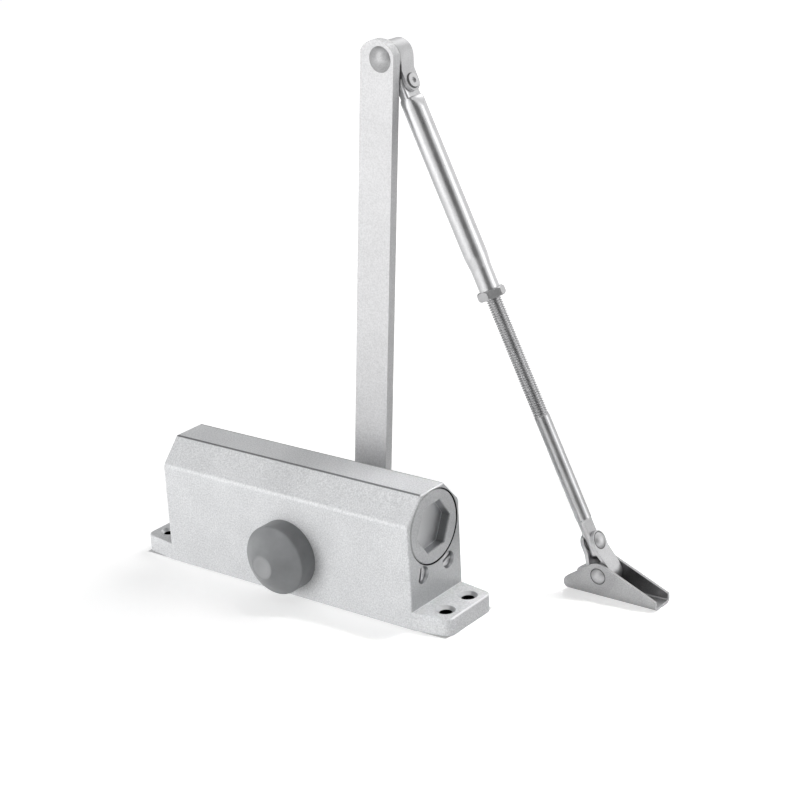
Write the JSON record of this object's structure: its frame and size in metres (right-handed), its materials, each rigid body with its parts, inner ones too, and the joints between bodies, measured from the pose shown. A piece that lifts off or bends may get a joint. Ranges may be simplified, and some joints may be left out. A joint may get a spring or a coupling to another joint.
{
  "type": "door closer",
  "caption": "Surface hydraulic door closer in silver paint with end valve screws, a grey pinion cap, a flat main arm, an adjustable forearm and a pressed shoe",
  "frame": {"origin": "middle of the body's mounting face, at the centre of its four screw holes", "axes": "+X along the body towards the end with the valve screws, +Y along the pinion from the capped side towards the arm, +Z away from the mounting face"},
  "size_m": [0.2741, 0.115, 0.2765],
  "materials": {
    "silver_paint": "cast aluminium under fine silver paint",
    "arm_paint": "steel bar under smooth silver paint",
    "zinc_plate": "bright zinc on pressed and turned steel",
    "machined_steel": "machined and oiled steel",
    "spring_steel": "dark drawn spring wire",
    "bronze": "sintered bronze",
    "grey_plastic": "moulded grey plastic",
    "seal_rubber": "black nitrile rubber"
  },
  "bodies": {
    "body": {"body_housing": "silver_paint", "valve_end_plug": "silver_paint", "spring_end_plug": "silver_paint", "end_plug_seals": "seal_rubber", "closing_spring": "spring_steel", "pinion_glands": "zinc_plate", "pinion_bushes": "bronze", "pinion_seals": "seal_rubber", "pinion_cap": "grey_plastic"},
    "piston": {"piston": "machined_steel", "piston_seal": "seal_rubber", "check_valve_ball": "machined_steel"},
    "arm": {"pinion": "machined_steel", "main_arm": "arm_paint", "arm_washer": "zinc_plate", "arm_screw": "zinc_plate", "elbow_pin": "zinc_plate", "elbow_washer": "zinc_plate"},
    "elbow_knuckle": {"elbow_strap": "zinc_plate", "elbow_rivet": "zinc_plate"},
    "forearm": {"forearm_tube": "zinc_plate"},
    "nut": {"lock_nut": "zinc_plate"},
    "rod": {"forearm_rod": "zinc_plate"},
    "link": {"shoe_link": "zinc_plate", "link_rivet": "zinc_plate"},
    "shoe": {"shoe": "zinc_plate", "shoe_rivet": "zinc_plate"},
    "closing_valve": {"closing_speed_valve": "zinc_plate", "closing_valve_seal": "seal_rubber"},
    "latching_valve": {"latching_speed_valve": "zinc_plate", "latching_valve_seal": "seal_rubber"}
  },
  "joints": [
    {"name": "arm_swing", "type": "hinge", "parent": "body", "child": "arm", "pos_m": [0.002, 0, 0.023], "axis": [0, -1, 0], "range_deg": [0, 95], "stiffness_Nm_per_rad": 6, "springref_deg": -57.3},
    {"name": "piston_slide", "type": "slide", "parent": "body", "child": "piston", "axis": [-1, 0, 0], "range_m": [0, 0.0199], "deforming": ["closing_spring"]},
    {"name": "elbow_swing", "type": "hinge", "parent": "arm", "child": "elbow_knuckle", "pos_m": [0.02535, 0.05915, 0.26689], "axis": [0, -1, 0], "range_deg": [0, 125]},
    {"name": "forearm_tilt", "type": "hinge", "parent": "elbow_knuckle", "child": "forearm", "pos_m": [0.03146, 0.05915, 0.2532], "axis": [0.9131, 0, 0.4077], "range_deg": [-1, 8]},
    {"name": "lock_nut_turn", "type": "hinge", "parent": "forearm", "child": "nut", "pos_m": [0.07727, 0.06157, 0.15059], "axis": [0.4076, 0.0215, -0.9129], "range_deg": [-180, 180]},
    {"name": "rod_extend", "type": "slide", "parent": "forearm", "child": "rod", "axis": [0.4076, 0.0215, -0.9129], "range_m": [-0.045, 0]},
    {"name": "link_tilt", "type": "hinge", "parent": "rod", "child": "link", "pos_m": [0.13269, 0.0645, 0.02647], "axis": [0.9131, 0, 0.4077], "range_deg": [-20, 20]},
    {"name": "shoe_swing", "type": "hinge", "parent": "link", "child": "shoe", "pos_m": [0.13942, 0.0645, 0.0114], "axis": [0, -1, 0], "range_deg": [-15, 65]},
    {"name": "closing_valve_turn", "type": "hinge", "parent": "body", "child": "closing_valve", "pos_m": [0.081, -0.0106, 0.0257], "axis": [1, 0, 0], "range_deg": [-180, 180]},
    {"name": "latching_valve_turn", "type": "hinge", "parent": "body", "child": "latching_valve", "pos_m": [0.081, 0.0106, 0.0257], "axis": [1, 0, 0], "range_deg": [-180, 180]}
  ],
  "couplings": [
    {"joint": "piston_slide", "follows": "arm_swing", "m_per_rad": 0.012}
  ]
}
